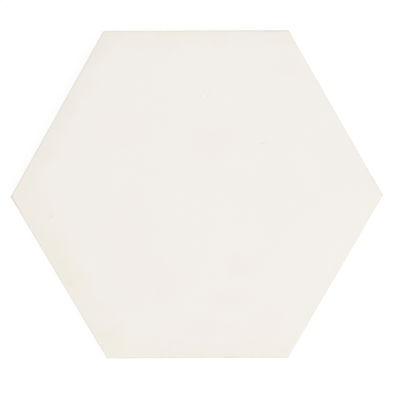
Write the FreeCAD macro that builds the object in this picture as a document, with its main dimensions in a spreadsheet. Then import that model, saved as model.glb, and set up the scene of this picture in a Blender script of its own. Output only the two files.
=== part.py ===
import FreeCAD, Part
import math
import os
import Sketcher

# A hexagon floor tile, pressed and fired as one piece. It lies on its back with the wearing face up.
# The origin is the middle of the back. Two sides run along X, and two corners point along X.
# The back has a field of six-cornered recesses with ribs between them, which grip the mortar, and a
# flat border round the field. The middle of the field is left whole. The walls of a recess lean, so
# that the tile comes off the die.
# Lengths are in millimetres. The angle in SIZES is in degrees, and those of the sketches in radians.

NODE = "hexagon_tile"

SIZES = {
    "across_corners": 250,  # corner to corner along X
    "across_flats": 220,  # side to side along Y
    "thickness": 9,
    "corner_radius": 0.9,  # the upright edges at the six corners
    "arris_radius": 0.7,  # the edge between the wearing face and the sides
    "lean_setback": 0.8,  # how far the sides draw in at the back
    "lean_height": 3.5,  # the height over which they draw in
    "rim_width": 9,  # flat border round the field of recesses
    "key_depth": 0.8,  # depth of the recesses
    "key_draft": 20,  # how far the walls of a recess lean from upright
    "key_rib": 3,  # width of the ribs between recesses
    "key_rings": 6,  # rings of recesses round the middle
}

SIDES = 6
THIRDS = 3
WHOLE_TURN = 360
SIXTH_TURN = math.radians(WHOLE_TURN / SIDES)
THIRD_TURN = math.radians(WHOLE_TURN / THIRDS)
CORNER_ANGLE = math.pi - SIXTH_TURN

# How a sketch numbers the points of a line or a circle, its X axis, and its origin.
START, END, CENTRE = 1, 2, 3
X_AXIS = -1
ORIGIN = (X_AXIS, START)

# Two lengths that differ by less count as the same.
CLOSE = 1e-4

# From the middle of the tile to the nearest side, and to the inner edge of the border there.
HALF_WIDTH = "min(sizes.across_flats / 2; sizes.across_corners * sqrt(3) / 4)"
FIELD_REACH = f"({HALF_WIDTH} - sizes.lean_setback - sizes.rim_width)"

# From one recess to the next. The outermost ring stands key_rings rows from the middle, with its
# corners on the inner edge of the border.
ROW_STEP = "sqrt(3) / 2"
CELL_REACH = "1 / sqrt(3)"
KEY_PITCH = (
    f"({FIELD_REACH} + sizes.key_rib * {CELL_REACH})"
    f" / (sizes.key_rings * {ROW_STEP} + {CELL_REACH})"
)

doc = FreeCAD.newDocument("hexagon_floor_tile")

sizes = doc.addObject("Spreadsheet::Sheet", "sizes")
for row, (name, value) in enumerate(SIZES.items(), start=1):
    sizes.set(f"A{row}", name)
    sizes.set(f"B{row}", str(value))
    sizes.setAlias(f"B{row}", name)

body = doc.addObject("PartDesign::Body", NODE)
body.Label = NODE
back_plane = next(f for f in body.Origin.OriginFeatures if f.Role == "XY_Plane")


def new_sketch(name):
    """An empty sketch of the body on the plane of the back."""
    sketch = body.newObject("Sketcher::SketchObject", name)
    sketch.AttachmentSupport = (back_plane, [""])
    sketch.MapMode = "FlatFace"
    return sketch


def closed_loop(sketch, corners):
    """Straight sides through the corners, joined end to end. Returns their numbers in the sketch."""
    ends = corners[1:] + corners[:1]
    sides = [sketch.addGeometry(Part.LineSegment(a, b), False) for a, b in zip(corners, ends)]
    for side, after in zip(sides, sides[1:] + sides[:1]):
        sketch.addConstraint(Sketcher.Constraint("Coincident", side, END, after, START))
    return sides


def add_dimension(sketch, name, formula, *place):
    """A named dimension of the sketch that follows a formula of the sizes."""
    number = sketch.addConstraint(Sketcher.Constraint(*place))
    sketch.renameConstraint(number, name)
    sketch.setExpression("Constraints." + name, formula)


def draw_outline(sketch):
    """The tile's hexagon, with all its corners at 120 degrees."""
    tip = SIZES["across_corners"] / 2
    side = SIZES["across_flats"] / 2
    shoulder = tip - side / math.sqrt(3)
    half = [(-tip, 0), (-shoulder, side), (shoulder, side)]
    corners = [FreeCAD.Vector(x, y, 0) for x, y in half + [(-x, -y) for x, y in half]]
    sides = closed_loop(sketch, corners)
    upper_left, top, upper_right, lower_right, bottom = sides[:5]
    for one, opposite in zip(sides[:3], sides[3:]):
        sketch.addConstraint(Sketcher.Constraint("Symmetric", one, START, opposite, START, *ORIGIN))
    sketch.addConstraint(Sketcher.Constraint("PointOnObject", upper_left, START, X_AXIS))
    sketch.addConstraint(Sketcher.Constraint("Horizontal", top))
    for one, other in ((upper_left, top), (top, upper_right)):
        sketch.addConstraint(Sketcher.Constraint("Angle", one, END, other, START, CORNER_ANGLE))
    across = ("DistanceX", upper_left, START, lower_right, START, 2 * tip)
    add_dimension(sketch, "corners", "sizes.across_corners", *across)
    across = ("DistanceY", bottom, START, top, START, 2 * side)
    add_dimension(sketch, "flats", "sizes.across_flats", *across)


def draw_recess(sketch):
    """The mouth of one recess, a regular hexagon with a corner towards +Y, beside the middle.

    One row of recesses runs along X. A construction line from the middle, a third of a turn further,
    gives the direction of the other. The recess is drawn at about its size, and its dimensions set it.
    """
    pitch = (SIZES["across_flats"] / 2 - SIZES["rim_width"]) / SIZES["key_rings"]
    mouth = pitch - SIZES["key_rib"]
    reach = mouth / math.sqrt(3)
    middle = FreeCAD.Vector(pitch, 0, 0)
    turns = [(side + 0.5) * SIXTH_TURN for side in range(SIDES)]
    corners = [middle + FreeCAD.Vector(math.cos(t), math.sin(t), 0) * reach for t in turns]
    sides = closed_loop(sketch, corners)
    circle = sketch.addGeometry(Part.Circle(middle, FreeCAD.Vector(0, 0, 1), reach), True)
    for side in sides:
        sketch.addConstraint(Sketcher.Constraint("PointOnObject", side, START, circle))
    for side in sides[1:]:
        sketch.addConstraint(Sketcher.Constraint("Equal", sides[0], side))
    left, right = sides[2], sides[5]
    sketch.addConstraint(Sketcher.Constraint("Vertical", right))
    sketch.addConstraint(Sketcher.Constraint("PointOnObject", circle, CENTRE, X_AXIS))
    add_dimension(sketch, "pitch", KEY_PITCH, "DistanceX", *ORIGIN, circle, CENTRE, pitch)
    across = ("DistanceX", left, START, right, START, mouth)
    add_dimension(sketch, "mouth", "Constraints.pitch - sizes.key_rib * 1 mm", *across)
    row = sketch.addGeometry(Part.LineSegment(FreeCAD.Vector(), corners[2]), True)
    sketch.addConstraint(Sketcher.Constraint("Coincident", row, START, *ORIGIN))
    sketch.addConstraint(Sketcher.Constraint("Angle", row, THIRD_TURN))
    sketch.addConstraint(Sketcher.Constraint("Equal", row, left))


def names_where(feature, kind, test):
    """The names of the feature's edges or faces whose lowest and highest points pass a test."""
    shapes = {"Edge": feature.Shape.Edges, "Face": feature.Shape.Faces}[kind]
    boxes = [shape.BoundBox for shape in shapes]
    return [f"{kind}{i}" for i, box in enumerate(boxes, start=1) if test(box.ZMin, box.ZMax)]


outline = new_sketch("outline")
draw_outline(outline)
slab = body.newObject("PartDesign::Pad", "slab")
slab.Profile = outline
slab.setExpression("Length", "sizes.thickness")
doc.recompute()

# The sides draw in towards the back, where the lower half of the die is smaller.
lean = body.newObject("PartDesign::Chamfer", "lean")
lean.Base = (slab, names_where(slab, "Edge", lambda low, high: high < CLOSE))
lean.ChamferType = "Two distances"
lean.FlipDirection = True
lean.setExpression("Size", "sizes.lean_setback")
lean.setExpression("Size2", "sizes.lean_height")
doc.recompute()

corners = body.newObject("PartDesign::Fillet", "corners")
corners.Base = (lean, names_where(lean, "Edge", lambda low, high: high - low > CLOSE))
corners.setExpression("Radius", "sizes.corner_radius")
doc.recompute()

face_height = SIZES["thickness"] - CLOSE
arris = body.newObject("PartDesign::Fillet", "arris")
arris.Base = (corners, names_where(corners, "Edge", lambda low, high: low > face_height))
arris.setExpression("Radius", "sizes.arris_radius")
doc.recompute()

recess_mouth = new_sketch("recess_mouth")
draw_recess(recess_mouth)
recess = body.newObject("PartDesign::Pocket", "recess")
recess.Profile = recess_mouth
recess.Reversed = True
recess.setExpression("Length", "sizes.key_depth")
doc.recompute()

depth = SIZES["key_depth"]
walls = names_where(recess, "Face", lambda low, high: low < CLOSE and abs(high - depth) < CLOSE)
if len(walls) != SIDES:
    raise RuntimeError("the recess does not have six walls")
leaning_walls = body.newObject("PartDesign::Draft", "leaning_walls")
leaning_walls.Base = (recess, walls)
leaning_walls.NeutralPlane = (back_plane, [""])
leaning_walls.Reversed = True
leaning_walls.SupportTransform = True
leaning_walls.setExpression("Angle", "sizes.key_draft")
doc.recompute()

# Every recess lies on a lattice. The first third of them fills a rhombus between two rows that leave
# the middle a third of a turn apart, and the rhombus is repeated three times round the middle.
along_row = doc.addObject("PartDesign::LinearPattern", "along_row")
along_row.Direction = (recess_mouth, ["H_Axis"])
along_row.setExpression("Occurrences", "sizes.key_rings")
along_row.setExpression("Length", "(sizes.key_rings - 1) * recess_mouth.Constraints.pitch")

between_rows = doc.addObject("PartDesign::LinearPattern", "between_rows")
between_rows.Direction = (recess_mouth, ["Axis0"])
between_rows.setExpression("Occurrences", "sizes.key_rings + 1")
between_rows.setExpression("Length", "sizes.key_rings * recess_mouth.Constraints.pitch")

round_middle = doc.addObject("PartDesign::PolarPattern", "round_middle")
round_middle.Axis = (recess_mouth, ["N_Axis"])
round_middle.Angle = WHOLE_TURN
round_middle.Occurrences = THIRDS

key_field = body.newObject("PartDesign::MultiTransform", "key_field")
key_field.Originals = [leaning_walls]
key_field.Transformations = [along_row, between_rows, round_middle]
key_field.Refine = False
body.Tip = key_field
doc.recompute()

for item in doc.Objects:
    if "Invalid" in item.State or "Error" in item.State:
        raise RuntimeError(f"{item.Name} failed: {item.State}")
    if item.TypeId == "Sketcher::SketchObject" and not item.FullyConstrained:
        raise RuntimeError(f"{item.Name} is loose")
if body.Shape.isNull() or not body.Shape.isValid() or len(body.Shape.Solids) != 1:
    raise RuntimeError("the tile is not one sound solid")

# Each recess takes away as much as the first one, so none points out of the tile or misses it.
rings = SIZES["key_rings"]
recesses = THIRDS * rings * (rings + 1)
one_recess = arris.Shape.Volume - leaning_walls.Shape.Volume
all_recesses = arris.Shape.Volume - body.Shape.Volume
if one_recess <= 0 or abs(all_recesses - recesses * one_recess) > CLOSE * all_recesses:
    raise RuntimeError("the recesses do not all cut into the back")

os.makedirs("parts", exist_ok=True)
body.Shape.exportStep(f"parts/{body.Label}.step")
print(body.Label, body.Shape.Volume, "mm3,", recesses, "recesses", body.Shape.BoundBox)
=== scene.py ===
import math

import bpy
import numpy as np
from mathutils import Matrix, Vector


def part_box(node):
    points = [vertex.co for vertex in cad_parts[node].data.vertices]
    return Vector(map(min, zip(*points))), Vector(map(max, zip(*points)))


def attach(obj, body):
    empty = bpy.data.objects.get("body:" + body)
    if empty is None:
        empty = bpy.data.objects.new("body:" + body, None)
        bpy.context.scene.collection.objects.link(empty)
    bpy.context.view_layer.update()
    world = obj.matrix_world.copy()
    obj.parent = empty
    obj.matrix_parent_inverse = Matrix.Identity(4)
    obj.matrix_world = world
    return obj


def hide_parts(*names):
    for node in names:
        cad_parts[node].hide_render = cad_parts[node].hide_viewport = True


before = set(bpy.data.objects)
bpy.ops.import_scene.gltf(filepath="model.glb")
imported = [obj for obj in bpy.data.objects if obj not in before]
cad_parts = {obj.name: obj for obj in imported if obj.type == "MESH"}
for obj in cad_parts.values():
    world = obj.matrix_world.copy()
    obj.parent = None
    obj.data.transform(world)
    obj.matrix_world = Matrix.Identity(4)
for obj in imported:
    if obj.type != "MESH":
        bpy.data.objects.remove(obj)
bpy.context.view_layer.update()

# The looks of a hexagon floor tile: a matt ivory glaze on a pale pressed body with a keyed back.
# Lengths are in metres, as in the frame. +X runs from the middle to a corner, +Y to a side.

MM = 0.001
SIDES = 6
SIXTH = 2 * math.pi / SIDES
ROOT_3 = math.sqrt(3)

# Places and heights that differ by less count as the same.
CLOSE = 0.001 * MM

NODE = "hexagon_tile"
FAR_CORNER = np.array(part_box(NODE)[1])
THICKNESS = FAR_CORNER[2]
HALF_FLATS = FAR_CORNER[1]

# Sizes that the solid has too.
CORNER_RADIUS = 0.9 * MM
ARRIS_RADIUS = 0.7 * MM
LEAN_SETBACK = 0.8 * MM
LEAN_HEIGHT = 3.5 * MM
RIM_WIDTH = 9 * MM
KEY_DEPTH = 0.8 * MM
KEY_RIB = 3 * MM
KEY_RINGS = 6

# Where the glaze ends on the side, before its waves, and the height below which all is bare body.
GLAZE_END = THICKNESS - 1.7 * MM
BARE_BELOW = 5.2 * MM

# From the middle to a corner before rounding, to a slanted side, and to the nearest side.
HALF_CORNERS = FAR_CORNER[0] + CORNER_RADIUS * (2 / ROOT_3 - 1)
HALF_SLANTS = HALF_CORNERS * ROOT_3 / 2
HALF_WIDTH = min(HALF_FLATS, HALF_SLANTS)


def smooth_step(x):
    """0 below 0, 1 above 1, and an S curve between, worked out as 3 x squared less 2 x cubed."""
    x = np.clip(x, 0, 1)
    return x * x * (3 - 2 * x)


# How many sines make an uneven value, how slowly and how fast they run beside the pace asked for, and
# how much of their sum it takes.
SINES = 12
SLOWEST, FASTEST = 0.6, 1.5
SPREAD = 0.25


def ripple(x, y, wave, seed):
    """A smooth uneven value from 0 to 1: the mean of sines of about one wavelength in all directions."""
    draw = np.random.default_rng(seed)
    turn = draw.uniform(0, 2 * math.pi, SINES)
    pace = 2 * math.pi / wave * draw.uniform(SLOWEST, FASTEST, SINES)
    phase = draw.uniform(0, 2 * math.pi, SINES)
    along = np.multiply.outer(x, np.cos(turn)) + np.multiply.outer(y, np.sin(turn))
    total = np.sin(along * pace + phase).sum(-1) / math.sqrt(SINES / 2)
    return np.clip(0.5 + total * SPREAD, 0, 1)


def swell(x, y, length_and_height, seed):
    """Waves of about one length, from nothing to one height."""
    length, height = length_and_height
    return ripple(x, y, length, seed) * height


# Outline

def in_metres(chips):
    """Chips with their lengths in metres."""
    return [(side, place * MM, width * MM, depth * MM) for side, place, width, depth in chips]


# Chips in the upper edge and in the foot: the side, counted anticlockwise from the upper right one, and
# in millimetres the distance along it from its first corner, the width and the depth.
NICKS = in_metres([
    (0, 21.5, 1.5, 0.19), (0, 70, 0.9, 0.25), (1, 88, 1, 0.15), (2, 5, 1.3, 0.18), (2, 62, 0.8, 0.15),
    (3, 44, 0.9, 0.2), (3, 123.5, 1.2, 0.16), (4, 71, 0.8, 0.15), (5, 90, 1, 0.2),
])
FOOT_CHIPS = in_metres([
    (0, 48, 1.7, 0.3), (1, 31, 1.2, 0.2), (1, 103, 2.3, 0.35), (2, 84, 1.3, 0.25), (3, 17, 1.6, 0.3),
    (4, 40, 2.1, 0.35), (4, 96, 1, 0.2), (5, 66, 1.5, 0.25),
])
DEEPEST_CHIP = max(depth for *_, depth in NICKS + FOOT_CHIPS)

# The step between points along a side, and near a chip, as far as this many of its widths from its
# middle. The last value is the number of points on a corner's arc.
STATION_STEP = 1.15 * MM
CHIP_STEP = 0.24 * MM
NEAR_CHIP = 1.2
ARC_POINTS = 7


def side_stations(side, length):
    """Distances along one side, evenly spaced, and closer together where the side has a chip."""
    even = np.linspace(0, length, round(length / STATION_STEP) + 1)[1:-1]
    close = [
        np.arange(place - NEAR_CHIP * width, place + NEAR_CHIP * width, CHIP_STEP)
        for number, place, width, _ in NICKS + FOOT_CHIPS
        if number == side
    ]
    stations = np.sort(np.concatenate([even, *close]))
    stations = stations[(stations > CHIP_STEP) & (stations < length - CHIP_STEP)]
    apart = np.diff(stations, prepend=-1) > CHIP_STEP / 2
    return stations[apart]


def hexagon_outline():
    """The plan of the tile, anticlockwise from the right-hand corner.

    Each corner is an arc of a sixth of a turn, as far inside the sharp corner as its radius needs, and
    each side is straight from one arc to the next. Returns the points, and for each of them its side's
    number and its distance along that side from the sharp corner, or -1 on an arc.
    """
    half_top = HALF_CORNERS - HALF_FLATS / ROOT_3
    right = [(HALF_CORNERS, 0), (half_top, HALF_FLATS), (-half_top, HALF_FLATS)]
    sharp = np.array(right + [(-x, -y) for x, y in right])
    tips = np.arange(SIDES) * SIXTH
    toward = np.stack([np.cos(tips), np.sin(tips)], -1)
    centres = sharp - toward * CORNER_RADIUS * 2 / ROOT_3
    points, numbers, places = [], [], []
    for side in range(SIDES):
        turn = tips[side] + np.linspace(-SIXTH / 2, SIXTH / 2, ARC_POINTS)
        points.append(centres[side] + CORNER_RADIUS * np.stack([np.cos(turn), np.sin(turn)], -1))
        numbers.append(np.full(ARC_POINTS, side))
        places.append(np.full(ARC_POINTS, -1.0))
        start, end = sharp[side], sharp[(side + 1) % SIDES]
        length = np.linalg.norm(end - start)
        trim = CORNER_RADIUS / ROOT_3
        along = trim + side_stations(side, length - 2 * trim)
        points.append(start + np.outer(along / length, end - start))
        numbers.append(np.full(len(along), side))
        places.append(along)
    return np.concatenate(points), np.concatenate(numbers), np.concatenate(places)


# Section

# The face: even rings from the middle to where the edge zone starts, and the insets of the closer rings
# from there, in millimetres.
FACE_RINGS = 11
EDGE_ZONE = 9 * MM
EDGE_RINGS = [7.4, 6, 4.8, 3.8, 3, 2.4, 1.9, 1.5, 1.15, 0.9]

ARRIS_POINTS = 8
GLAZE_INSET = 0.01 * MM

# The end of the glaze, down to the foot of its lip: height above that end and inset, in millimetres, and
# the share of its wave that the ring follows.
GLAZE_LIP = [
    [0.8, 0.01, 0.15], [0.5, 0.01, 0.5], [0.26, 0.0, 0.9], [0.13, 0.005, 1], [0.05, 0.02, 1],
    [-0.03, 0.05, 1], [-0.11, 0.07, 1], [-0.3, 0.07, 1], [-0.8, 0.07, 0.7], [-1.3, 0.07, 0.35],
]

# The bare side, the joint of the die, the lean and the rounded foot: height and inset in millimetres.
BARE_SIDE = [
    [5.6, 0.07], [5.2, 0.07], [4.5, 0.07], [4.0, 0.06], [3.75, 0.05], [3.6, 0.02], [3.5, 0.0],
    [3.4, 0.04], [3.2, 0.13], [2.3, 0.34], [1.4, 0.54], [0.9, 0.66], [0.6, 0.72], [0.3, 0.78],
    [0.14, 0.83], [0.04, 0.9], [0.0, 1.02], [0.0, 1.5], [0.0, 2.4],
]

# The end of the glaze: its slow waves' length and height, and its runs' spacing and length. A run starts
# where its ripple is RUN_START, and is full where it is RUN_RISE more.
SLOW_WAVE, SLOW_WAVE_HEIGHT = 26 * MM, 0.8 * MM
RUN_SPACING, RUN_LENGTH = 8 * MM, 0.7 * MM
RUN_START, RUN_RISE = 0.6, 0.3
LOWEST_END, HIGHEST_END = -1.0 * MM, 0.4 * MM


def glaze_wave(x, y):
    """How far the glaze's end lies above or below its usual height: slow waves, less a few runs."""
    slow = (ripple(x, y, SLOW_WAVE, seed=21) - 0.5) * SLOW_WAVE_HEIGHT
    runs = smooth_step((ripple(x, y, RUN_SPACING, seed=22) - RUN_START) / RUN_RISE) * RUN_LENGTH
    return np.clip(slow - runs, LOWEST_END, HIGHEST_END)


def tile_section():
    """The section from the middle of the face, over the arris and down the side, to the border's start.

    Returns for each ring how far it lies inside the outline, its height, and how much of the glaze
    end's wave it follows. The bare side stands a little inside the widest line, which is the joint
    between the two halves of the die, at the top of the lean.
    """
    face = np.linspace(HALF_WIDTH, EDGE_ZONE, FACE_RINGS)[1:]
    flat = np.concatenate([face, np.array(EDGE_RINGS) * MM])
    turn = np.linspace(0, math.pi / 2, ARRIS_POINTS)
    arris_in = GLAZE_INSET + ARRIS_RADIUS * (1 - np.sin(turn))
    arris_up = THICKNESS - ARRIS_RADIUS * (1 - np.cos(turn))
    lip = np.array(GLAZE_LIP)
    bare = np.array(BARE_SIDE)
    inset = np.concatenate([flat, arris_in, lip[:, 1] * MM, bare[:, 1] * MM])
    height = [np.full(len(flat), THICKNESS), arris_up, GLAZE_END + lip[:, 0] * MM, bare[:, 0] * MM]
    follow = [np.zeros(len(flat) + len(arris_in)), lip[:, 2], np.zeros(len(bare))]
    return inset, np.concatenate(height), np.concatenate(follow)


# How far from its edge a chip cuts, and how far it cuts down or up for each length that it cuts in. It
# breaks unevenly, from the least share of its depth to the spread more, in grains of one size.
NICK_REACH = 1.2 * MM
FOOT_CHIP_REACH = 0.9 * MM
CHIP_RISE = 0.8
CHIP_LEAST, CHIP_SPREAD = 0.75, 0.5
CHIP_GRAIN = 0.9 * MM

# The waves of the arris, the side and the face: the length and height of each.
LONG_WAVER = (11 * MM, 0.09 * MM)
SHORT_WAVER = (3 * MM, 0.04 * MM)
SIDE_ROUGHNESS = (2.1 * MM, 0.03 * MM)
FACE_WAVE = (70 * MM, 0.035 * MM)
FACE_SINK = 0.02 * MM

# The bead along the edge of the face: how far in it lies, its width and its height.
BEAD_INSET, BEAD_WIDTH, BEAD_HEIGHT = 2.6 * MM, 1.8 * MM, 0.02 * MM

# How far down from the face, and in from the side, the arris wavers. The side is rough down to the foot.
ARRIS_ZONE = 1.2 * MM
ARRIS_ZONE_INSET = 2 * MM
FOOT_ZONE = 0.5 * MM


def chip_depths(chips, numbers, places, from_edge, reach):
    """How deep chips cut: each one's depth, times a steep bell across its width, times a bell that falls
    with the distance from the edge."""
    near = np.exp(-((from_edge / reach) ** 2))[:, None]
    total = np.zeros((len(from_edge), len(places)))
    for number, place, width, depth in chips:
        across = np.exp(-(((places - place) / (width / 2)) ** 4)) * (numbers == number)
        total += depth * across * near
    return total


def worn_surface(outline, numbers, places):
    """The rings of the face, arris and side as a grid of points.

    Each ring is the outline drawn in towards the middle. The face sinks by a few hundredths of a
    millimetre in slow waves and stands a touch higher in a bead along the edge, where the glaze gathers.
    The arris and the side waver a little, and the chips cut inwards, and down or up. Also returns each
    point's height above the glaze's end, and how chipped it is, from 0 to 1.
    """
    inset, height, follow = tile_section()
    x, y = outline[:, 0], outline[:, 1]
    broken = CHIP_LEAST + CHIP_SPREAD * ripple(x, y, CHIP_GRAIN, seed=13)
    from_arris = np.hypot(inset, THICKNESS - height)
    nicks = broken * chip_depths(NICKS, numbers, places, from_arris, NICK_REACH)
    from_foot = np.hypot(inset - LEAN_SETBACK, height)
    foot_chips = broken * chip_depths(FOOT_CHIPS, numbers, places, from_foot, FOOT_CHIP_REACH)
    on_face = (height > THICKNESS - CLOSE)[:, None]
    near_arris = np.exp(-(((height - THICKNESS) / ARRIS_ZONE) ** 2)) * (inset < ARRIS_ZONE_INSET)
    below_arris = (height < THICKNESS - ARRIS_RADIUS) & (height > FOOT_ZONE)
    waver = swell(x, y, LONG_WAVER, seed=3) + swell(x, y, SHORT_WAVER, seed=4)
    rough = swell(x, y, SIDE_ROUGHNESS, seed=5)
    drawn_in = inset[:, None] + nicks + foot_chips
    drawn_in = drawn_in + near_arris[:, None] * waver + below_arris[:, None] * rough
    scale = 1 - drawn_in / HALF_WIDTH
    grid_x, grid_y = x * scale, y * scale
    bead = np.exp(-(((inset - BEAD_INSET) / BEAD_WIDTH) ** 2))[:, None] * BEAD_HEIGHT
    sunk = on_face * np.maximum(swell(grid_x, grid_y, FACE_WAVE, seed=7) + FACE_SINK - bead, 0)
    wave = glaze_wave(x, y)
    grid_z = height[:, None] + follow[:, None] * wave - sunk + CHIP_RISE * (foot_chips - nicks)
    above = grid_z - GLAZE_END - wave
    chipped = np.clip((nicks + foot_chips) / DEEPEST_CHIP, 0, 1)
    return np.stack([grid_x, grid_y, np.maximum(grid_z, 0)], -1), above, chipped


# Keyed back

# From the middle to the inner edge of the border, and from one recess to the next.
KEY_REACH = HALF_WIDTH - LEAN_SETBACK - RIM_WIDTH
KEY_PITCH = (KEY_REACH + KEY_RIB / ROOT_3) / (KEY_RINGS * ROOT_3 / 2 + 1 / ROOT_3)
CELL_SIDE_STEPS = 6

# The wall of a recess, ring by ring: millimetres outside its mouth, and the share of the depth.
WALL_INSETS = [0.35, 0.12, 0.02, -0.06, -0.28, -0.42, -0.7]
WALL_HEIGHTS = [0.0, 0.02, 0.1, 0.24, 0.86, 0.97, 1.0]

# The last ring on the floor as a share of the mouth, how round the first ring of the wall and the rest
# are, and the radius of the circle that they round towards, for a distance of 1 to the sides.
FLOOR_RING = 0.5
FIRST_ROUNDNESS, ROUNDNESS = 0.02, 0.12
ROUND_RADIUS = 1.05

# The shallowest recess, as a share of the full depth.
SHALLOWEST = 0.93


def cell_rings():
    """Distance from a recess's middle to its sides, height and roundness, ring by ring.

    The first ring is the line where two ribs' halves meet. The last one lies on the floor.
    """
    mouth = (KEY_PITCH - KEY_RIB) / 2
    wall = mouth + np.array(WALL_INSETS) * MM
    apothem = np.concatenate([[KEY_PITCH / 2], wall, [mouth * FLOOR_RING]])
    height = np.concatenate([[0], np.array(WALL_HEIGHTS) * KEY_DEPTH, [KEY_DEPTH]])
    roundness = np.concatenate([[0, FIRST_ROUNDNESS], np.full(len(wall), ROUNDNESS)])
    return apothem, height, roundness


def lattice_middles():
    """Middles of the cells, in whole steps along two rows 60 degrees apart, and each one's ring."""
    steps = np.arange(-KEY_RINGS, KEY_RINGS + 1)
    q, r = (a.ravel() for a in np.meshgrid(steps, steps))
    inside = np.abs(q + r) <= KEY_RINGS
    q, r = q[inside], r[inside]
    middles = np.stack([KEY_PITCH * (q + r / 2), KEY_PITCH * ROOT_3 / 2 * r], -1)
    return middles, np.maximum(np.maximum(np.abs(q), np.abs(r)), np.abs(q + r))


def key_cells():
    """The recesses with their half ribs, as rings of points in each cell, with the middle cell flat.

    A ring is a hexagon with a corner towards +Y, blended towards a circle by its roundness.
    """
    tips = math.pi / 6 + SIXTH * np.arange(SIDES + 1)
    corners = np.stack([np.cos(tips), np.sin(tips)], -1) * 2 / ROOT_3
    part = (np.arange(CELL_SIDE_STEPS) / CELL_SIDE_STEPS)[:, None]
    hexagon = (corners[:-1, None] * (1 - part) + corners[1:, None] * part).reshape(-1, 2)
    circle = hexagon / np.linalg.norm(hexagon, axis=1)[:, None]
    apothem, height, roundness = (a[:, None, None] for a in cell_rings())
    ring = apothem * (hexagon * (1 - roundness) + ROUND_RADIUS * circle * roundness)
    middles, rank = lattice_middles()
    level = middles[:, None, None, :] + ring[None]
    deep = np.random.default_rng(11).uniform(SHALLOWEST, 1.0, len(middles)) * (rank > 0)
    z = np.broadcast_to(height[None, :, :, 0], level.shape[:3]) * deep[:, None, None]
    cells = np.concatenate([level, z[..., None]], -1)
    centres = np.column_stack([middles, KEY_DEPTH * deep])
    return cells, centres


def rim_loop(points):
    """The border of the field of cells, in order of angle, from the points of all outermost rings.

    A point there is met by fewer than all its cells: two on an edge, three at a corner of the lattice.
    """
    flat = points.reshape(-1, 3)
    steps = np.round(flat[:, :2] / CLOSE)
    _, first, seen = np.unique(steps, axis=0, return_index=True, return_counts=True)
    corner = np.tile(np.arange(SIDES * CELL_SIDE_STEPS) % CELL_SIDE_STEPS == 0, len(points))
    open_edge = np.where(corner[first], seen < 3, seen < 2)
    loop = flat[first[open_edge]]
    return loop[np.argsort(np.arctan2(loop[:, 1], loop[:, 0]))]


# Mesh

def band(outer, inner):
    """Quads between rings of the same number of points, given as numbers."""
    return np.stack([outer, np.roll(outer, -1, -1), np.roll(inner, -1, -1), inner], -1).reshape(-1, 4)


def fan(ring, middle):
    """Triangles from a ring's points to its middle point."""
    middle = np.broadcast_to(middle, ring.shape)
    return np.stack([ring, np.roll(ring, -1, -1), middle], -1).reshape(-1, 3)


def zip_loops(outer, inner, points):
    """Triangles between two closed loops with their points in order of angle round the middle.

    The points of both loops are sorted together by angle. Each one makes a triangle with the point
    before it in its own loop and the last one passed in the other loop.
    """
    angle = np.arctan2(points[:, 1], points[:, 0])
    outer = np.roll(outer, -np.argmin(angle[outer]))
    inner = np.roll(inner, -np.argmin(angle[inner]))
    both = np.concatenate([angle[outer], angle[inner]])
    is_outer = np.arange(len(both)) < len(outer)
    order = np.argsort(both, kind="stable")
    turn = is_outer[order]
    at_outer = np.cumsum(turn) - 1
    at_inner = np.cumsum(~turn) - 1
    this_outer, last_outer = outer[at_outer % len(outer)], outer[(at_outer - 1) % len(outer)]
    this_inner, last_inner = inner[at_inner % len(inner)], inner[(at_inner - 1) % len(inner)]
    step_outer = np.stack([last_outer, this_outer, this_inner], -1)
    step_inner = np.stack([last_inner, this_outer, this_inner], -1)
    return np.where(turn[:, None], step_outer, step_inner)


def make_tile():
    """The whole tile as one closed mesh: face, arris, sides, border and keyed back."""
    outline, numbers, places = hexagon_outline()
    grid, above, chipped = worn_surface(outline, numbers, places)
    top = np.array([[0, 0, grid[0, :, 2].mean()]])
    cells, centres = key_cells()
    loop = rim_loop(cells[:, 0])
    parts = [grid, top, cells, centres, loop]
    counts = np.cumsum([0] + [part.size // 3 for part in parts])
    points = np.concatenate([part.reshape(-1, 3) for part in parts])
    above_all = points[:, 2] - GLAZE_END
    above_all[:above.size] = above.ravel()
    chipped_all = np.zeros(len(points))
    chipped_all[:chipped.size] = chipped.ravel()
    rings, top_at, cell_at, centre_at, loop_at = (
        first + np.arange(part.size // 3).reshape(part.shape[:-1]) for first, part in zip(counts, parts)
    )
    over = band(rings[1:], rings[:-1])
    under = band(cell_at[:, :-1], cell_at[:, 1:])[:, ::-1]
    quads = np.concatenate([over, under])
    triangles = np.concatenate([
        fan(rings[0], top_at),
        fan(cell_at[:, -1], centre_at[:, None])[:, ::-1],
        zip_loops(rings[-1], loop_at, points)[:, ::-1],
    ])
    steps = np.round(points / CLOSE)
    _, first, same = np.unique(steps, axis=0, return_index=True, return_inverse=True)
    same = same.ravel()
    mesh = bpy.data.meshes.new("tile")
    mesh.from_pydata(points[first], [], same[quads].tolist() + same[triangles].tolist())
    mesh.validate()
    mesh.update()
    mesh.polygons.foreach_set("use_smooth", np.ones(len(mesh.polygons), dtype=bool))
    for name, values in (("above_glaze_end", above_all), ("chipped", chipped_all)):
        mesh.attributes.new(name, "FLOAT", "POINT").data.foreach_set("value", values[first])
    tile = bpy.data.objects.new("tile", mesh)
    bpy.context.collection.objects.link(tile)
    return tile


tile = make_tile()


# Materials

def linear(red, green, blue):
    """A colour on the screen's scale of 0 to 255, as the light it stands for.

    By the usual curve of screens it is straight near black, and above that a power of 2.4.
    """
    share = np.array([red, green, blue]) / 255
    return (*np.where(share <= 0.04045, share / 12.92, ((share + 0.055) / 1.055) ** 2.4), 1.0)


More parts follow.
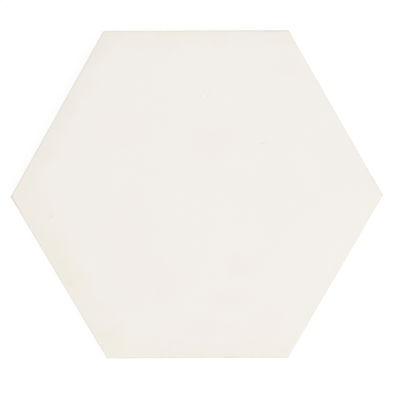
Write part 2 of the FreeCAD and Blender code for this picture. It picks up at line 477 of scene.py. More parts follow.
def put(tree, kind, wires=(), **settings):
    """Adds a node. wires gives each input, by name or number, a plain value or another node's output."""
    made = tree.nodes.new(kind)
    for name, value in settings.items():
        setattr(made, name, value)
    for key, value in dict(wires).items():
        if isinstance(value, bpy.types.NodeSocket):
            tree.links.new(value, made.inputs[key])
        else:
            made.inputs[key].default_value = value
    return made


def calc(tree, operation, *values, clamp=False):
    """One step of arithmetic on up to three values."""
    wires = dict(enumerate(values))
    return put(tree, "ShaderNodeMath", wires, operation=operation, use_clamp=clamp).outputs[0]


def vector(tree, operation, *values, output=0, **settings):
    """One step of arithmetic on vectors."""
    wires = dict(enumerate(values)) | settings
    return put(tree, "ShaderNodeVectorMath", wires, operation=operation).outputs[output]


def fade(tree, value, start=0.0, end=1.0, low=0.0, high=1.0):
    """An S curve from low, where the value is start, to high, where it is end."""
    wires = {"Value": value, "From Min": start, "From Max": end, "To Min": low, "To Max": high}
    return put(tree, "ShaderNodeMapRange", wires, interpolation_type="SMOOTHSTEP").outputs[0]


def tint(tree, mask, under, over):
    """The colour under, changed to the colour over where the mask is 1."""
    return put(tree, "ShaderNodeMix", {0: mask, 6: under, 7: over}, data_type="RGBA").outputs[2]


def cover(tree, mask, strength, under, over):
    """The colour under, changed to the colour over as far as the mask times its strength says."""
    return tint(tree, calc(tree, "MULTIPLY", mask, strength), under, over)


def in_steps(tree, place, size, shift):
    """The place counted in steps of one size. The shift gives each use a pattern of its own."""
    if not isinstance(shift, bpy.types.NodeSocket):
        shift = (shift,) * 3
    steps = vector(tree, "SCALE", place, Scale=calc(tree, "DIVIDE", 1.0, size))
    return vector(tree, "ADD", steps, shift)


def cloud(tree, place, size, shift, detail=2.0):
    """Soft noise of about this size, from 0 to 1."""
    wires = {"Vector": in_steps(tree, place, size, shift), "Scale": 1.0, "Detail": detail}
    return put(tree, "ShaderNodeTexNoise", wires).outputs["Fac"]


def patches(tree, place, size, shift):
    """Soft noise spread so that it runs from 0 to 1."""
    return fade(tree, cloud(tree, place, size, shift), *PATCH_SPAN)


def push(tree, uneven, amount):
    """How far an uneven value, about 0.5, pushes the edge of a mask."""
    return calc(tree, "MULTIPLY", calc(tree, "SUBTRACT", uneven, 0.5), amount)


def new_group(name, inputs, outputs):
    """An empty node group with named inputs, each with its starting value, and named outputs."""
    group = bpy.data.node_groups.new(name, "ShaderNodeTree")
    for label, value in inputs.items():
        kind = "NodeSocketVector" if isinstance(value, tuple) else "NodeSocketFloat"
        group.interface.new_socket(name=label, in_out="INPUT", socket_type=kind).default_value = value
    for label, kind in outputs.items():
        group.interface.new_socket(name=label, in_out="OUTPUT", socket_type=kind)
    return group, group.nodes.new("NodeGroupInput").outputs, group.nodes.new("NodeGroupOutput").inputs


def use(tree, group, **values):
    """Places a group in a tree and gives its outputs. Its inputs are named in lower case here."""
    wires = {name.replace("_", " ").capitalize(): value for name, value in values.items()}
    return put(tree, "ShaderNodeGroup", wires, node_tree=group).outputs


def mask_of(tree, group, place, **values):
    """Places a group in a tree and gives its mask."""
    return use(tree, group, place=place, **values)["Mask"]


# The middle part of soft noise, where most of it lies.
PATCH_SPAN = (0.35, 0.65)

MASK = {"Mask": "NodeSocketFloat"}
ORIGIN = (0.0, 0.0, 0.0)

# The share of its radius within which a spot is full.
SPOT_CORE = 0.2

# Grains, counted in cells: how fine and how strong the bend is, the radius of the least dot and how much
# more the largest has, and the share of its radius within which a dot is full.
BEND_FINENESS, BEND = 2.2, 0.55
DOT_RADIUS, DOT_SPREAD, DOT_CORE = 0.1, 0.24, 0.45


def side_band_group():
    """A band along one side of the tile.

    The distance to the side is its half width less the place's reach towards it. The band fades out
    evenly over its reach. Uneven, a value about 0.5, pushes its end in and out, and patches, from 0
    to 1, thin it.
    """
    inputs = {
        "Place": ORIGIN, "Facing": (1.0, 0.0, 0.0), "Half width": 0.1, "Reach": 0.01,
        "Waver": 0.5, "Uneven": 0.5, "Patchiness": 0.5, "Patches": 1.0,
    }
    group, given, result = new_group("side_band", inputs, MASK)
    toward = vector(group, "DOT_PRODUCT", given["Place"], given["Facing"], output="Value")
    inside = calc(group, "SUBTRACT", given["Half width"], toward)
    share = calc(group, "DIVIDE", inside, given["Reach"])
    pushed = calc(group, "ADD", share, push(group, given["Uneven"], given["Waver"]))
    full = calc(group, "SUBTRACT", 1.0, pushed, clamp=True)
    thin = calc(group, "MULTIPLY", calc(group, "SUBTRACT", 1.0, given["Patches"]), given["Patchiness"])
    group.links.new(calc(group, "MULTIPLY", full, calc(group, "SUBTRACT", 1.0, thin)), result["Mask"])
    return group


def spot_group():
    """One soft spot: full near its middle and gone at its radius, which uneven pushes in and out.

    The distance from its middle is taken in plan, each way divided by its own radius.
    """
    inputs = {
        "Place": ORIGIN, "Middle": ORIGIN, "Radii": (0.01, 0.01, 1.0), "Ragged": 0.5, "Uneven": 0.5,
    }
    group, given, result = new_group("spot", inputs, MASK)
    away = vector(group, "SUBTRACT", given["Place"], given["Middle"])
    far = vector(group, "LENGTH", vector(group, "DIVIDE", away, given["Radii"]), output="Value")
    pushed = calc(group, "ADD", far, push(group, given["Uneven"], given["Ragged"]))
    group.links.new(fade(group, pushed, 1.0, SPOT_CORE), result["Mask"])
    return group


def mottle_group():
    """Clouds of one size, spread so that they run from 0 to 1, with few values between when sharp."""
    inputs = {"Place": ORIGIN, "Size": 0.02, "Softness": 0.2, "Shift": 0.0}
    group, given, result = new_group("mottle", inputs, MASK)
    noise = cloud(group, given["Place"], given["Size"], given["Shift"], detail=3.0)
    start = calc(group, "SUBTRACT", 0.5, given["Softness"])
    end = calc(group, "ADD", 0.5, given["Softness"])
    group.links.new(fade(group, noise, start, end), result["Mask"])
    return group


def grains_group():
    """Uneven grains. Space, bent a little by soft noise, is cut in cells of one size, and the share
    given of them has a dot in its middle, between a tenth and a third of the cell in radius."""
    inputs = {"Place": ORIGIN, "Size": 0.001, "Share": 0.3, "Shift": 0.0}
    group, given, result = new_group("grains", inputs, MASK)
    steps = in_steps(group, given["Place"], given["Size"], given["Shift"])
    wires = {"Vector": steps, "Scale": BEND_FINENESS, "Detail": 1.0}
    noise = put(group, "ShaderNodeTexNoise", wires).outputs["Color"]
    bend = vector(group, "SCALE", vector(group, "SUBTRACT", noise, (0.5, 0.5, 0.5)), Scale=BEND)
    bent = vector(group, "ADD", steps, bend)
    cells = put(group, "ShaderNodeTexVoronoi", {"Vector": bent, "Scale": 1.0}).outputs
    lot = put(group, "ShaderNodeSeparateColor", {0: cells["Color"]}).outputs
    chosen = calc(group, "LESS_THAN", lot["Red"], given["Share"])
    size = calc(group, "MULTIPLY", lot["Green"], lot["Green"])
    radius = calc(group, "MULTIPLY_ADD", size, DOT_SPREAD, DOT_RADIUS)
    dot = fade(group, cells["Distance"], radius, calc(group, "MULTIPLY", radius, DOT_CORE))
    group.links.new(calc(group, "MULTIPLY", chosen, dot), result["Mask"])
    return group


SIDE_BAND = side_band_group()
SPOT = spot_group()
MOTTLE = mottle_group()
GRAINS = grains_group()

# Colours on the screen's scale, as they look in plain light.
IVORY = linear(242.5, 238.1, 233.1)
# Painted shade to the left, with a warmer tone of the glaze.
LEFT_TONE_AND_SHADE_IVORY = linear(241.7, 237, 231)
# Painted shade to the right, against the lamp's stronger light there.
RIGHT_PAINTED_SHADE_IVORY = linear(241.6, 236.9, 232)
PINK_IVORY = linear(242, 236.5, 231.5)
PALE_IVORY = linear(243, 239.5, 234)
CHALK = linear(238, 233, 224)
BODY = linear(226, 217, 202)
# Warm clouds in the body, and the painted shade in the recesses of the back.
WARM_BODY_AND_RECESS_SHADE = linear(222, 209, 190)
COOL_BODY = linear(221, 214, 203)
IRON = linear(150, 118, 88)
FLINT = linear(196, 187, 172)
CLAY = linear(186, 168, 143)
PALE_GRANULE = linear(234, 227, 214)
# Smudges from handling on the ribs, and the painted shade between the granules and in the pores.
SMUDGE_AND_CREVICE_SHADE = linear(201, 192, 178)
FLASHED = linear(219, 203, 178)

# The face is a little darker and warmer to the left, partly a warmer tone of the glaze and partly
# painted shade for the light that comes from the right, and a little darker to the right, a painted
# shade that evens out the lamp's stronger light there: from where to where. How strong the pale
# clouds and the fine grains in it are.
LEFT_TONE_AND_SHADE_SPAN = (0.0, -50 * MM)
RIGHT_PAINTED_SHADE_SPAN = (10 * MM, 90 * MM)
PALE_CLOUDS, FINE_GRAINS = 0.5, 0.06

# Clouds that make edges and bands uneven.
BROAD_CLOUD, NARROW_CLOUD, SMALL_CLOUD = 20 * MM, 4 * MM, 1.1 * MM

# What the fire left along each side, anticlockwise from the upper right one: how far the cream shade
# reaches, how strong and how patchy it is, and its colour on the screen's scale.
CREAM = [
    (6 * MM, 0.3, 0.6, (242, 239, 232)),
    (14 * MM, 1.0, 0.35, (240, 236, 225)),
    (14 * MM, 1.0, 0.35, (238, 234, 225)),
    (21 * MM, 1.0, 0.35, (240, 235, 222)),
    (16 * MM, 1.0, 0.4, (242, 237, 226)),
    (12 * MM, 0.7, 0.5, (243, 239, 230)),
]
CREAM_WAVER = 1.2

# The arris, where the glaze is thin and the body shows: for each side how wide the line is, how strong,
# and its colour.
ARRIS_LINE = [
    (1.0 * MM, 0.55, (228, 224, 216)),
    (1.6 * MM, 0.85, (227, 225, 208)),
    (1.3 * MM, 0.75, (223, 219, 210)),
    (1.2 * MM, 0.55, (224, 217, 203)),
    (1.1 * MM, 0.9, (226, 212, 202)),
    (1.1 * MM, 0.7, (229, 226, 219)),
]
ARRIS_WAVER, ARRIS_PATCHINESS = 0.5, 0.25

# Heights between which the shades of the arris come in, and the share of them that lies below.
ARRIS_SHADE_SPAN = (THICKNESS - 1.2 * ARRIS_RADIUS, THICKNESS - 0.6 * ARRIS_RADIUS)
SHADE_BELOW = 0.2

# Places where the arris is worn more, or less: middle and radius in millimetres, and by how much.
WORN = [
    ((121, 7), 13, 0.35), ((72, 92), 8, 0.4), ((63, 107), 6, 0.35),
    ((4, 110), 15, -0.35), ((-59, 110), 9, 0.3), ((-56, -110), 11, -0.4),
    ((23, -110), 9, 0.35), ((52, -110), 16, 0.3), ((111, -26), 9, 0.3),
    ((72, -91), 16, 0.35), ((-122, -4), 9, 0.45),
]
WORN_RAGGED = 0.6

# Stretches of the arris that are rubbed grey: side, middle and radius in millimetres, strength, colour.
RUBBED = [
    (0, (119.8, 8.8), 8, 0.6, (221, 219, 212)),
    (3, (-122, -5.2), 11, 0.85, (208, 204, 198)),
    (3, (-113, -20.8), 14, 0.35, (212, 209, 204)),
    (4, (50, -110), 20, 0.35, (216, 211, 204)),
]
RUBBED_REACH = 1.3 * MM

# Marks in the glaze, and a painted highlight and painted shade round the pimple: middle and radii in
# millimetres, strength and colour.
MARKS_AND_PAINTED_LIGHT = [
    ((124.4, 0.2), (1.3, 1.3), 0.5, (212, 208, 204)),
    ((114.1, 17.8), (1.3, 1.6), 0.7, (229, 229, 225)),
    ((-121.6, 0.7), (1.7, 1.7), 0.6, (246, 235, 228)),
    ((-124.3, 0.2), (1.3, 1.5), 0.5, (214, 205, 202)),
    ((50, 109.6), (13, 1.6), 0.5, (224, 224, 219)),
    ((-34, 109.6), (20, 1.6), 0.5, (239, 239, 221)),
    ((23, -109.7), (10, 1.4), 0.5, (221, 214, 204)),
    ((43.6, 34.9), (1.9, 0.75), 0.9, (231, 227, 221)),
    ((45.6, 35.6), (3.4, 1.1), 0.7, (238, 234, 228)),
    ((-98, -13.4), (2, 1.4), 0.6, (231, 228, 219)),
    ((-97.8, -16.3), (1.6, 1.2), 0.8, (241, 240, 233)),
    # The four spots round the pimple, two light and two dark, are a painted highlight and painted shade
    # on its sides.
    ((4.9, 66.8), (0.9, 0.9), 1, (250, 246, 240)),
    ((2.8, 68.8), (0.8, 0.8), 1, (249, 245, 240)),
    ((4.9, 69), (0.9, 0.7), 1, (233, 230, 223)),
    ((2.8, 66.6), (0.9, 0.7), 1, (233, 230, 223)),
    ((7.6, 67.2), (3.2, 4.2), 0.6, (239.5, 235.5, 229.5)),
    ((65.6, 91), (2.4, 3.2), 0.7, (239.5, 235.5, 229.5)),
    ((-104.6, -26.4), (3, 3.6), 0.6, (239, 234, 219)),
    ((-93, -44.4), (2.8, 3.4), 0.5, (240, 232, 221)),
    ((-85.2, -58.4), (4.4, 3.6), 0.45, (236, 230, 219)),
    ((-78.9, -63.6), (3.2, 2.6), 0.6, (240, 237, 222)),
    ((-83.6, 63.8), (2.6, 4), 0.4, (236, 232, 223)),
    ((-12.6, 106.2), (6.5, 2), 0.35, (240, 236, 224)),
    ((58.5, -104.6), (4, 3), 0.4, (239, 233, 222)),
    ((-22, -104.2), (7, 2.6), 0.4, (239, 233, 224)),
]
MARK_RAGGED = 0.9

# Wide blushes in the glaze, a little pinker than the rest: middle and radii in millimetres.
BLUSHES = [
    ((13.4, 38), (20, 18)), ((-50, 46), (24, 20)), ((60.5, 87), (12, 12)), ((-21, -57), (18, 20)),
    ((28, -48), (15, 12)), ((8, -91), (40, 11)), ((22, -70), (22, 12)), ((47, -86), (14, 14)),
    ((18, -103), (34, 9)), ((-28, 98), (26, 8)),
]
BLUSH_STRENGTH, BLUSH_RAGGED = 0.8, 1.2

# The small pimple where glaze dried round a grain: middle and radii in millimetres, and its height.
PIMPLE, PIMPLE_RADII = (3.9, 67.7), (1.6, 1.6)
PIMPLE_HEIGHT = 0.1 * MM

# The orange peel of the glaze: the size of its waves and their height.
PEEL_SIZE, PEEL_HEIGHT = 1.6 * MM, 0.012 * MM


def spot(tree, place, middle, radii, ragged, uneven):
    """The mask of one soft spot, with its middle and radii in millimetres."""
    middle = (middle[0] * MM, middle[1] * MM, 0.0)
    radii = (radii[0] * MM, radii[1] * MM, 1.0)
    return mask_of(tree, SPOT, place, middle=middle, radii=radii, ragged=ragged, uneven=uneven)


def band_along(tree, place, side, reach, **ends):
    """The mask of a band along one side. The top and the bottom are numbers 1 and 4."""
    turn = (side + 0.5) * SIXTH
    facing = (math.cos(turn), math.sin(turn), 0.0)
    half_width = HALF_FLATS if side % 3 == 1 else HALF_SLANTS
    return mask_of(tree, SIDE_BAND, place, facing=facing, half_width=half_width, reach=reach, **ends)


def glaze_colour(tree, place):
    """The glaze: ivory, with faint clouds and blushes, cream bands, a thin arris and small marks,
    painted shade to the left and to the right, and a painted highlight and painted shade on the pimple's
    sides.

    Below the arris the glaze is thick again, and the shade of the arris and its marks nearly goes.
    """
    broad = cloud(tree, place, BROAD_CLOUD, shift=1.0)
    narrow = cloud(tree, place, NARROW_CLOUD, shift=20.0)
    small = cloud(tree, place, SMALL_CLOUD, shift=60.0)
    cream_ends = {
        "waver": CREAM_WAVER, "uneven": broad, "patches": patches(tree, place, BROAD_CLOUD, shift=3.7),
    }
    arris_ends = {
        "waver": ARRIS_WAVER, "uneven": narrow, "patchiness": ARRIS_PATCHINESS,
        "patches": patches(tree, place, NARROW_CLOUD, shift=23.7),
    }
    axes = put(tree, "ShaderNodeSeparateXYZ", {0: place}).outputs
    # Painted shade: darker to the left, for light from the right, and darker to the right, against the
    # lamp's stronger light there.
    colour = tint(tree, fade(tree, axes["X"], *LEFT_TONE_AND_SHADE_SPAN), IVORY, LEFT_TONE_AND_SHADE_IVORY)
    colour = tint(tree, fade(tree, axes["X"], *RIGHT_PAINTED_SHADE_SPAN), colour, RIGHT_PAINTED_SHADE_IVORY)
    pale = mask_of(tree, MOTTLE, place, size=35 * MM, softness=0.16, shift=1.3)
    colour = cover(tree, pale, PALE_CLOUDS, colour, PALE_IVORY)
    for middle, radii in BLUSHES:
        blush = spot(tree, place, middle, radii, BLUSH_RAGGED, broad)
        colour = cover(tree, blush, BLUSH_STRENGTH, colour, PINK_IVORY)
    for side, (reach, strength, patchiness, cream) in enumerate(CREAM):
        shade = band_along(tree, place, side, reach, patchiness=patchiness, **cream_ends)
        colour = cover(tree, shade, strength, colour, linear(*cream))
    thick = colour
    worn = 0.0
    for middle, radius, more in WORN:
        near = spot(tree, place, middle, (radius, radius), WORN_RAGGED, narrow)
        worn = calc(tree, "MULTIPLY_ADD", near, more, worn)
    for side, (reach, strength, bare) in enumerate(ARRIS_LINE):
        line = band_along(tree, place, side, reach, **arris_ends)
        shown = calc(tree, "ADD", worn, strength, clamp=True)
        colour = cover(tree, line, shown, colour, linear(*bare))
    for side, middle, radius, strength, grey in RUBBED:
        line = band_along(tree, place, side, RUBBED_REACH, **arris_ends)
        near = spot(tree, place, middle, (radius, radius), WORN_RAGGED, narrow)
        colour = cover(tree, calc(tree, "MULTIPLY", line, near), strength, colour, linear(*grey))
    # Some of these are the painted highlight and painted shade round the pimple.
    for middle, radii, strength, mark_and_light_colour in MARKS_AND_PAINTED_LIGHT:
        here = spot(tree, place, middle, radii, MARK_RAGGED, small)
        colour = cover(tree, here, strength, colour, linear(*mark_and_light_colour))
    on_arris = fade(tree, axes["Z"], *ARRIS_SHADE_SPAN, SHADE_BELOW, 1.0)
    colour = tint(tree, on_arris, thick, colour)
    fine = mask_of(tree, GRAINS, place, size=0.9 * MM, share=0.12, shift=5.0)
    return cover(tree, fine, FINE_GRAINS, colour, FLINT)


def glaze_relief(tree, place):
    """Heights on the glaze in metres: an orange peel of fine waves, and the pimple."""
    peel = calc(tree, "MULTIPLY", cloud(tree, place, PEEL_SIZE, shift=30.0, detail=3.0), PEEL_HEIGHT)
    pimple = spot(tree, place, PIMPLE, PIMPLE_RADII, 0.0, 0.5)
    return calc(tree, "MULTIPLY_ADD", pimple, PIMPLE_HEIGHT, peel)


# The relief of the bare body: the size and height of its coarse waves, the height of a granule, and the
# depth of a pore and of the lines that the die drags.
COARSE_SIZE, COARSE_HEIGHT = 1.4 * MM, 0.06 * MM
GRANULE_SIZE, GRANULE_HEIGHT = 0.45 * MM, 0.03 * MM
PORE_DEPTH = 0.05 * MM
DRAG_SIZE, DRAG_DEPTH = 0.7 * MM, 0.03 * MM

# The pattern of the drag lines is squeezed to this share in height, so that they run up and down.
DRAG_SQUEEZE = 0.06

# The heights on a granule's dome over which the painted shade of its rim comes in, and on a side for its
# drag lines. The part of the noise that shows as lines, and how strong they are.
RIM_SPAN = (0.75, 0.35)
DRAG_SPAN = (LEAN_HEIGHT - 0.2 * MM, LEAN_HEIGHT + 0.3 * MM)
LINE_SPAN = (0.45, 0.65)
DRAG_SHADE = 0.3


def pressed_body_group():
    """The bare fired body, for each place its colour and the height of its grain in metres.

    The colour is pale beige with warm and cool clouds and pressed granules that differ a little, flint
    and dark grains and a few iron specks, with painted shade in the creases between granules and in
    the pores. The granules are cells packed side by side, and each one's dome falls from 1 at its
    middle with the square of the distance. The relief adds the domes to a coarse noise and takes away
    pores.
    """
    outputs = {"Color": "NodeSocketColor", "Relief": "NodeSocketFloat"}
    inputs = {"Place": ORIGIN, "Cloud size": 0.02, "Iron share": 0.01, "Pore share": 0.1}
    group, given, result = new_group("pressed_body", inputs, outputs)
    place = given["Place"]
    warm = mask_of(group, MOTTLE, place, size=given["Cloud size"], softness=0.2, shift=2.0)
    cool = mask_of(group, MOTTLE, place, size=6 * MM, softness=0.25, shift=7.0)
    steps = in_steps(group, place, GRANULE_SIZE, 13.0)
    granules = put(group, "ShaderNodeTexVoronoi", {"Vector": steps, "Scale": 1.0}).outputs
    square = calc(group, "MULTIPLY", granules["Distance"], granules["Distance"])
    dome = calc(group, "SUBTRACT", 1.0, square, clamp=True)
    lot = put(group, "ShaderNodeSeparateColor", {0: granules["Color"]}).outputs["Red"]
    # Painted shade in the creases between the granules.
    painted_rim_shade = fade(group, dome, *RIM_SPAN)
    flint = mask_of(group, GRAINS, place, size=0.8 * MM, share=0.35, shift=1.0)
    clay = mask_of(group, GRAINS, place, size=1.7 * MM, share=0.2, shift=33.0)
    pores = mask_of(group, GRAINS, place, size=1 * MM, share=given["Pore share"], shift=9.0)
    iron = mask_of(group, GRAINS, place, size=1.3 * MM, share=given["Iron share"], shift=4.0)
    # The dark rims between granules and the dark pores are painted shade.
    layers = [
        (warm, 0.6, WARM_BODY_AND_RECESS_SHADE), (cool, 0.5, COOL_BODY), (lot, 0.35, PALE_GRANULE), (painted_rim_shade, 0.25, SMUDGE_AND_CREVICE_SHADE),
        (flint, 0.55, FLINT), (clay, 0.5, CLAY), (pores, 0.5, SMUDGE_AND_CREVICE_SHADE), (iron, 0.7, IRON),
    ]
    colour = BODY
    for mask, strength, over in layers:
        colour = cover(group, mask, strength, colour, over)
    noise = cloud(group, place, COARSE_SIZE, shift=11.0, detail=4.0)
    coarse = calc(group, "MULTIPLY", noise, COARSE_HEIGHT)
    grain = calc(group, "MULTIPLY_ADD", dome, GRANULE_HEIGHT, coarse)
    relief = calc(group, "MULTIPLY_ADD", pores, -PORE_DEPTH, grain)
    group.links.new(colour, result["Color"])
    group.links.new(relief, result["Relief"])
    return group


PRESSED_BODY = pressed_body_group()


def new_material(name):
    """A material with its Principled shader, the place on the object, and its height."""
    material = bpy.data.materials.new(name)
    material.use_nodes = True
    tree = material.node_tree
    place = put(tree, "ShaderNodeTexCoord").outputs["Object"]
    height = put(tree, "ShaderNodeSeparateXYZ", {0: place}).outputs["Z"]
    return material, tree, tree.nodes["Principled BSDF"], place, height


def finish_shader(tree, shader, colour, rough, relief):
    """Feeds a shader its colour, its roughness, and its relief in metres as a bump."""
    bump = put(tree, "ShaderNodeBump", {"Strength": 1.0, "Distance": 1.0, "Height": relief})
    tree.links.new(colour, shader.inputs["Base Color"])
    tree.links.new(rough, shader.inputs["Roughness"])
    tree.links.new(bump.outputs["Normal"], shader.inputs["Normal"])


def side_colour(tree, place, height):
    """The body as a side shows it, with drag lines from the die over its grain above the joint."""
    body = use(tree, PRESSED_BODY, place=place, cloud_size=14 * MM, iron_share=0.012, pore_share=0.06)
    upright = vector(tree, "MULTIPLY", place, (1.0, 1.0, DRAG_SQUEEZE))
    lines = cloud(tree, upright, DRAG_SIZE, shift=15.0, detail=3.0)
    above_joint = fade(tree, height, *DRAG_SPAN)
    dragged = calc(tree, "MULTIPLY", fade(tree, lines, *LINE_SPAN), above_joint)
    colour = cover(tree, dragged, DRAG_SHADE, body["Color"], FLINT)
    deep = calc(tree, "MULTIPLY", lines, above_joint)
    return colour, calc(tree, "MULTIPLY_ADD", deep, DRAG_DEPTH, body["Relief"])


def own_value(tree, name):
    """A value that the mesh carries for each of its points."""
    return put(tree, "ShaderNodeAttribute", attribute_name=name).outputs["Fac"]


# The end of the glaze: the size of its fray and how far that moves it, how far it fades up and down, and
# how far the flash reaches below it and the thin glaze above it, with their strengths.
FRAY_SIZE, FRAY = 1.1 * MM, 0.25 * MM
END_FADE = 0.06 * MM
FLASH_REACH, FLASH_SHADE = 1.1 * MM, 0.6
THIN_REACH, THIN_SHADE = 0.9 * MM, 0.5

# How chipped a place is where its glaze is gone and where it is whole, and how far the fray moves that.
CHIP_SPAN = (0.62, 0.42)
CHIP_FRAY = 0.5

# How rough the glaze is, how much more it is in places, and how rough the bare body and the wash are.
GLAZE_ROUGH, GLAZE_ROUGH_SPREAD = 0.46, 0.08
BARE_SIDE_ROUGH, BACK_ROUGH, WASH_ROUGH = 0.85, 0.82, 0.95


def ivory_glaze():
    """Matt ivory glaze over the face and the upper edge, down to its uneven end on the bare side."""
    material, tree, shader, place, height = new_material("ivory_glaze")
    fray = calc(tree, "SUBTRACT", cloud(tree, place, FRAY_SIZE, shift=61.0), 0.5)
    above = calc(tree, "MULTIPLY_ADD", fray, FRAY, own_value(tree, "above_glaze_end"))
    chip = calc(tree, "MULTIPLY_ADD", fray, CHIP_FRAY, own_value(tree, "chipped"))
    covered = fade(tree, above, -END_FADE, END_FADE)
    glazed = calc(tree, "MULTIPLY", covered, fade(tree, chip, *CHIP_SPAN))
    bare, bare_relief = side_colour(tree, place, height)
    bare = cover(tree, fade(tree, above, -FLASH_REACH, 0.0), FLASH_SHADE, bare, FLASHED)
    glaze = glaze_colour(tree, place)
    glaze = cover(tree, fade(tree, above, THIN_REACH, 0.0), THIN_SHADE, glaze, FLASHED)
    colour = tint(tree, glazed, bare, glaze)
    matt = mask_of(tree, MOTTLE, place, size=12 * MM, softness=0.3, shift=17.0)
    glaze_rough = calc(tree, "MULTIPLY_ADD", matt, GLAZE_ROUGH_SPREAD, GLAZE_ROUGH)
    rough = fade(tree, glazed, low=BARE_SIDE_ROUGH, high=glaze_rough)
    relief = fade(tree, glazed, low=bare_relief, high=glaze_relief(tree, place))
    finish_shader(tree, shader, colour, rough, relief)
    return material


# Heights over which the back turns into the side, a recess's wall into its floor, and into a rib. How
# strong the painted shade of the recesses, darker and warmer, and the smudges on the ribs are.
SIDE_SPAN = (KEY_DEPTH + 0.1 * MM, KEY_DEPTH + 0.6 * MM)
RECESS_SPAN = (0.25 * KEY_DEPTH, 0.9 * KEY_DEPTH)
RIB_SPAN = (0.2 * MM, 0.02 * MM)
RECESS_SHADE, SMUDGE_SHADE = 0.5, 0.2

# Kiln wash: the share to which its pattern is squeezed along X, how much its streaks and patches give,
# what is left of it over the grain, how strong a splash is, and how thick it lies. The spans are the
# parts of the noise in which a streak comes in and the wash is whole.
ROLL_SQUEEZE = 0.1
STREAK_SHARE, PATCH_SHARE = 0.45, 0.45
LEFT_OVER_GRAIN = 0.4
SPLASH = 0.4
WASH_HEIGHT = 0.03 * MM
STREAK_SPAN = (0.4, 0.62)
WHOLE_SPAN = (0.36, 0.58)


def bare_body():
    """The bare body on the lower sides and the back, with kiln wash on the ribs and the border and
    painted shade in the recesses.

    The wash is rolled on along X: it lies in streaks and patches where the back is highest, is worn
    through over the grain, and has splashed here and there into the recesses.
    """
    material, tree, shader, place, height = new_material("bare_body")
    side, side_relief = side_colour(tree, place, height)
    under = use(tree, PRESSED_BODY, place=place, cloud_size=45 * MM, iron_share=0.03, pore_share=0.12)
    is_side = fade(tree, height, *SIDE_SPAN)
    in_recess = fade(tree, height, *RECESS_SPAN)
    # Painted shade: the recesses are darker and warmer.
    back = cover(tree, in_recess, RECESS_SHADE, under["Color"], WARM_BODY_AND_RECESS_SHADE)
    rolled = vector(tree, "MULTIPLY", place, (ROLL_SQUEEZE, 1.0, 1.0))
    streaks = fade(tree, cloud(tree, rolled, 3.5 * MM, shift=18.0, detail=4.0), *STREAK_SPAN)
    patchy = mask_of(tree, MOTTLE, place, size=30 * MM, softness=0.12, shift=19.0)
    whole = fade(tree, cloud(tree, place, 1.6 * MM, shift=20.0, detail=4.0), *WHOLE_SPAN)
    left = calc(tree, "MULTIPLY_ADD", whole, 1 - LEFT_OVER_GRAIN, LEFT_OVER_GRAIN)
    streaky = calc(tree, "MULTIPLY", streaks, STREAK_SHARE)
    washed = calc(tree, "MULTIPLY_ADD", patchy, PATCH_SHARE, streaky)
    on_rib = fade(tree, height, *RIB_SPAN)
    rolled_on = calc(tree, "MULTIPLY", calc(tree, "MULTIPLY", washed, left), on_rib)
    splashes = mask_of(tree, GRAINS, place, size=4.2 * MM, share=0.14, shift=26.0)
    chalky = calc(tree, "MAXIMUM", rolled_on, calc(tree, "MULTIPLY", splashes, SPLASH))
    back = tint(tree, chalky, back, CHALK)
    smudges = mask_of(tree, MOTTLE, place, size=18 * MM, softness=0.08, shift=23.0)
    back = cover(tree, calc(tree, "MULTIPLY", smudges, on_rib), SMUDGE_SHADE, back, SMUDGE_AND_CREVICE_SHADE)
    colour = tint(tree, is_side, back, side)
    relief = calc(tree, "MULTIPLY_ADD", chalky, WASH_HEIGHT, under["Relief"])
    relief = fade(tree, is_side, low=relief, high=side_relief)
    rough = fade(tree, chalky, low=BACK_ROUGH, high=WASH_ROUGH)
    finish_shader(tree, shader, colour, rough, relief)
    return material


tile.data.materials.append(ivory_glaze())
tile.data.materials.append(bare_body())
faces = tile.data.polygons
middles = np.empty(len(faces) * 3)
faces.foreach_get("center", middles)
faces.foreach_set("material_index", (middles[2::3] < BARE_BELOW).astype(np.int32))

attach(tile, "root")
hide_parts(NODE)


# Stage

WHITE = (1.0, 1.0, 1.0, 1.0)
PAPER = (0.9, 0.9, 0.9, 1.0)
SHADED_PAPER = (0.18, 0.18, 0.18, 1.0)
PAPER_GLOW = 0.845
ROOM_LIGHT = 0.8
FLOOR_SIZE = 6
HAIR_GAP = 0.1 * MM
SHORT_WAY = 2 * MM


def seen_directly(tree):
    """1 for rays from the camera, from a mirror or through glass, and 0 for the light on the object."""
    path = put(tree, "ShaderNodeLightPath").outputs
    straight = calc(tree, "MAXIMUM", path["Is Camera Ray"], path["Is Glossy Ray"])
    return calc(tree, "MAXIMUM", straight, path["Is Transmission Ray"])


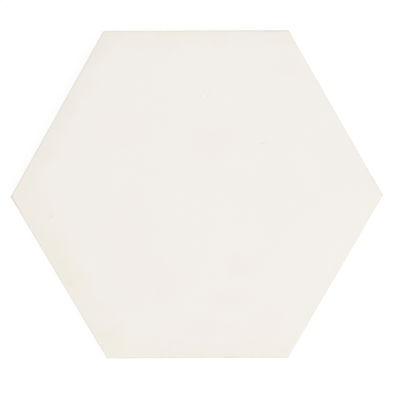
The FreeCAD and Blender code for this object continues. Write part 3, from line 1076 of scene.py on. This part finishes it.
def make_floor():
    """White paper under the tile. Seen directly it is a clean white that still takes a faint shadow.

    It is clear from below, and for light that goes less than two millimetres, so that the back can be
    looked at as it lies.
    """
    bpy.ops.mesh.primitive_plane_add(size=FLOOR_SIZE, location=(0, 0, -HAIR_GAP))
    floor = bpy.context.object
    floor.name = "floor"
    paper = bpy.data.materials.new("white_paper")
    paper.use_nodes = True
    tree = paper.node_tree
    tree.nodes.remove(tree.nodes["Principled BSDF"])
    lit = put(tree, "ShaderNodeBsdfDiffuse", {"Color": PAPER}).outputs[0]
    shaded = put(tree, "ShaderNodeBsdfDiffuse", {"Color": SHADED_PAPER}).outputs[0]
    glow = put(tree, "ShaderNodeEmission", {"Color": WHITE, "Strength": PAPER_GLOW}).outputs[0]
    clean = put(tree, "ShaderNodeAddShader", {0: shaded, 1: glow}).outputs[0]
    shown = put(tree, "ShaderNodeMixShader", {0: seen_directly(tree), 1: lit, 2: clean}).outputs[0]
    path = put(tree, "ShaderNodeLightPath").outputs
    near = calc(tree, "LESS_THAN", path["Ray Length"], SHORT_WAY)
    near = calc(tree, "MULTIPLY", near, path["Is Diffuse Ray"])
    from_below = put(tree, "ShaderNodeNewGeometry").outputs["Backfacing"]
    clear = calc(tree, "MAXIMUM", near, from_below)
    open_air = put(tree, "ShaderNodeBsdfTransparent").outputs[0]
    surface = put(tree, "ShaderNodeMixShader", {0: clear, 1: shown, 2: open_air}).outputs[0]
    tree.links.new(surface, tree.nodes["Material Output"].inputs["Surface"])
    floor.data.materials.append(paper)


def make_world():
    """Even light from all round, and plain white where the camera sees past the floor."""
    world = bpy.data.worlds.new("studio")
    bpy.context.scene.world = world
    world.use_nodes = True
    tree = world.node_tree
    background = tree.nodes["Background"]
    background.inputs["Color"].default_value = WHITE
    strength = calc(tree, "MULTIPLY_ADD", seen_directly(tree), 1.0 - ROOM_LIGHT, ROOM_LIGHT)
    tree.links.new(strength, background.inputs["Strength"])


# A square soft lamp that faces the tile: where it hangs and its size in metres, and its power in watts.
LAMP_PLACE = (6.0, -3.5, 8.2)
LAMP_SIZE = 5.6
LAMP_WATTS = 304.0

# The camera over the tile: its place, its turns in degrees, and its sensor and lens in millimetres.
CAMERA_PLACE = (2.64 * MM, 21.65 * MM, 500 * MM)
CAMERA_TURN = (-2.825, 0.052, -0.22)
SENSOR_WIDTH = 36
LENS = 65.99

make_floor()
make_world()

lamp = bpy.data.lights.new("key", "AREA")
lamp.shape = "SQUARE"
lamp.size = LAMP_SIZE
lamp.energy = LAMP_WATTS
softbox = bpy.data.objects.new("key", lamp)
softbox.location = LAMP_PLACE
softbox.rotation_euler = Vector(LAMP_PLACE).to_track_quat("Z", "Y").to_euler()
bpy.context.collection.objects.link(softbox)

camera_data = bpy.data.cameras.new("camera")
camera_data.sensor_width = SENSOR_WIDTH
camera_data.lens = LENS
camera = bpy.data.objects.new("camera", camera_data)
camera.location = CAMERA_PLACE
camera.rotation_euler = [math.radians(turn) for turn in CAMERA_TURN]
bpy.context.collection.objects.link(camera)
bpy.context.scene.camera = camera
bpy.context.scene.view_settings.view_transform = "Standard"
